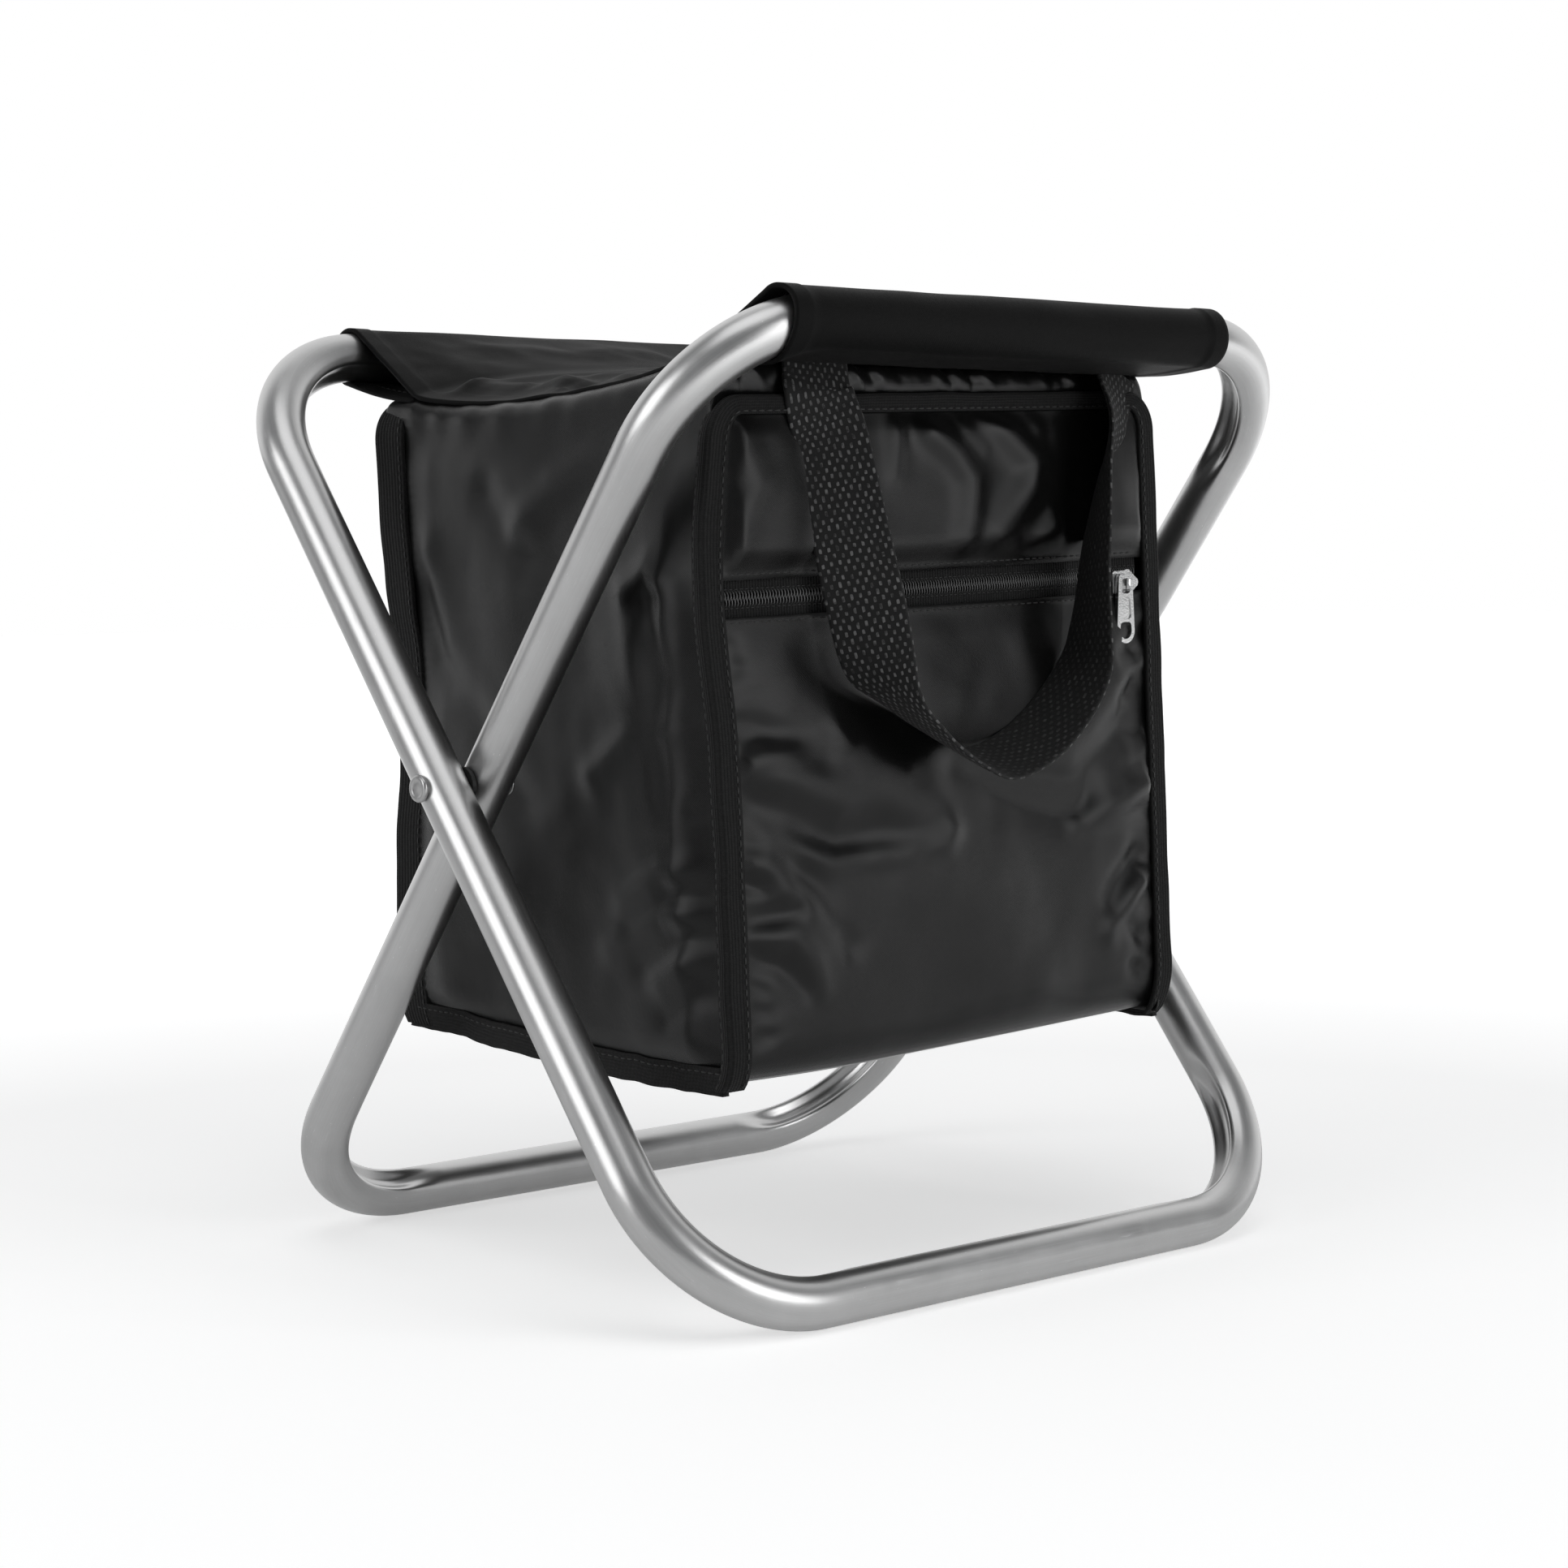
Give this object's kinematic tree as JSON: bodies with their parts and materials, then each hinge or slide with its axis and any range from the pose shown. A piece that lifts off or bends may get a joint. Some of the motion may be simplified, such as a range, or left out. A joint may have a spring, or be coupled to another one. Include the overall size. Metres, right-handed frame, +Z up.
{
  "type": "folding cooler stool",
  "caption": "Folding stool of two crossed steel tube loops with a cloth sling seat and an insulated zip bag hung under it.",
  "frame": {"origin": "on the floor under the middle of the stool, where it stands open", "axes": "+X along the seat rails towards the zip's closed end, -Y towards the side with the zip, +Z up"},
  "size_m": [0.3546, 0.2978, 0.3658],
  "materials": {
    "steel_tube": "satin, lightly scratched",
    "rivet_steel": "turned, satin",
    "spacer_plastic": "matt",
    "cloth": "coated woven cloth with a soft sheen",
    "lining": "foam with a smooth lining",
    "binding_tape": "ribbed matt tape",
    "webbing": "coarse woven webbing",
    "zip_chain": "nylon coil",
    "zip_metal": "bright plating"
  },
  "bodies": {
    "rear_seat_frame": {"rear_seat_frame": "steel_tube", "pivot_rivet_left": "rivet_steel", "pivot_rivet_right": "rivet_steel", "pivot_spacer_left": "spacer_plastic", "pivot_spacer_right": "spacer_plastic", "seat_sling": "cloth"},
    "front_seat_frame": {"front_seat_frame": "steel_tube"},
    "bag": {"gusset_left": "cloth", "gusset_right": "cloth", "bag_top": "cloth", "bag_bottom": "cloth", "binding_bottom_left": "binding_tape", "binding_bottom_right": "binding_tape", "insulation_left": "lining", "insulation_right": "lining", "insulation_bottom": "lining", "insulation_top": "lining"},
    "bag_front": {"front_panel_lower": "cloth", "front_panel_upper": "cloth", "insulation_front_lower": "lining", "insulation_front_upper": "lining", "binding_front": "binding_tape", "zip_tape_lower": "binding_tape", "zip_tape_upper": "binding_tape", "zip_coil": "zip_chain"},
    "bag_back": {"back_panel": "cloth", "insulation_back": "lining", "binding_back": "binding_tape"},
    "zip_slider": {"zip_slider": "zip_metal"},
    "zip_puller": {"zip_puller": "zip_metal"},
    "handle_front": {"handle_front": "webbing"},
    "handle_back": {"handle_back": "webbing"}
  },
  "joints": [
    {"name": "fold", "type": "hinge", "parent": "rear_seat_frame", "child": "front_seat_frame", "pos_m": [0, 0, 0.18862], "axis": [-1, 0, 0], "range_deg": [0, 62], "deforming": ["seat_sling", "gusset_left", "gusset_right", "bag_top", "bag_bottom", "binding_bottom_left", "binding_bottom_right", "insulation_left", "insulation_right", "insulation_bottom", "insulation_top"]},
    {"name": "bag_turn", "type": "hinge", "parent": "rear_seat_frame", "child": "bag", "pos_m": [0, 0, 0.18862], "axis": [-1, 0, 0], "range_deg": [0, 31]},
    {"name": "front_press", "type": "slide", "parent": "bag", "child": "bag_front", "axis": [0, 1, 0], "range_m": [0, 0.0808]},
    {"name": "back_press", "type": "slide", "parent": "bag", "child": "bag_back", "axis": [0, -1, 0], "range_m": [0, 0.0808]},
    {"name": "zip_travel", "type": "slide", "parent": "bag_front", "child": "zip_slider", "axis": [-1, 0, 0], "range_m": [0, 0.178]},
    {"name": "puller_swing", "type": "hinge", "parent": "zip_slider", "child": "zip_puller", "pos_m": [0.0931, -0.10313, 0.2597], "axis": [0, 1, 0], "range_deg": [-25, 90]},
    {"name": "handle_front_swing", "type": "hinge", "parent": "bag_front", "child": "handle_front", "pos_m": [0, -0.0981, 0.3394], "axis": [-1, 0, 0], "range_deg": [0, 27]},
    {"name": "handle_back_swing", "type": "hinge", "parent": "bag_back", "child": "handle_back", "pos_m": [0, 0.1061, 0.3359], "axis": [1, 0, 0], "range_deg": [0, 38]}
  ],
  "couplings": [
    {"joint": "bag_turn", "follows": "fold", "ratio": 0.5},
    {"joint": "front_press", "follows": "fold", "m_per_rad": 0.074669},
    {"joint": "back_press", "follows": "fold", "m_per_rad": 0.074669}
  ]
}
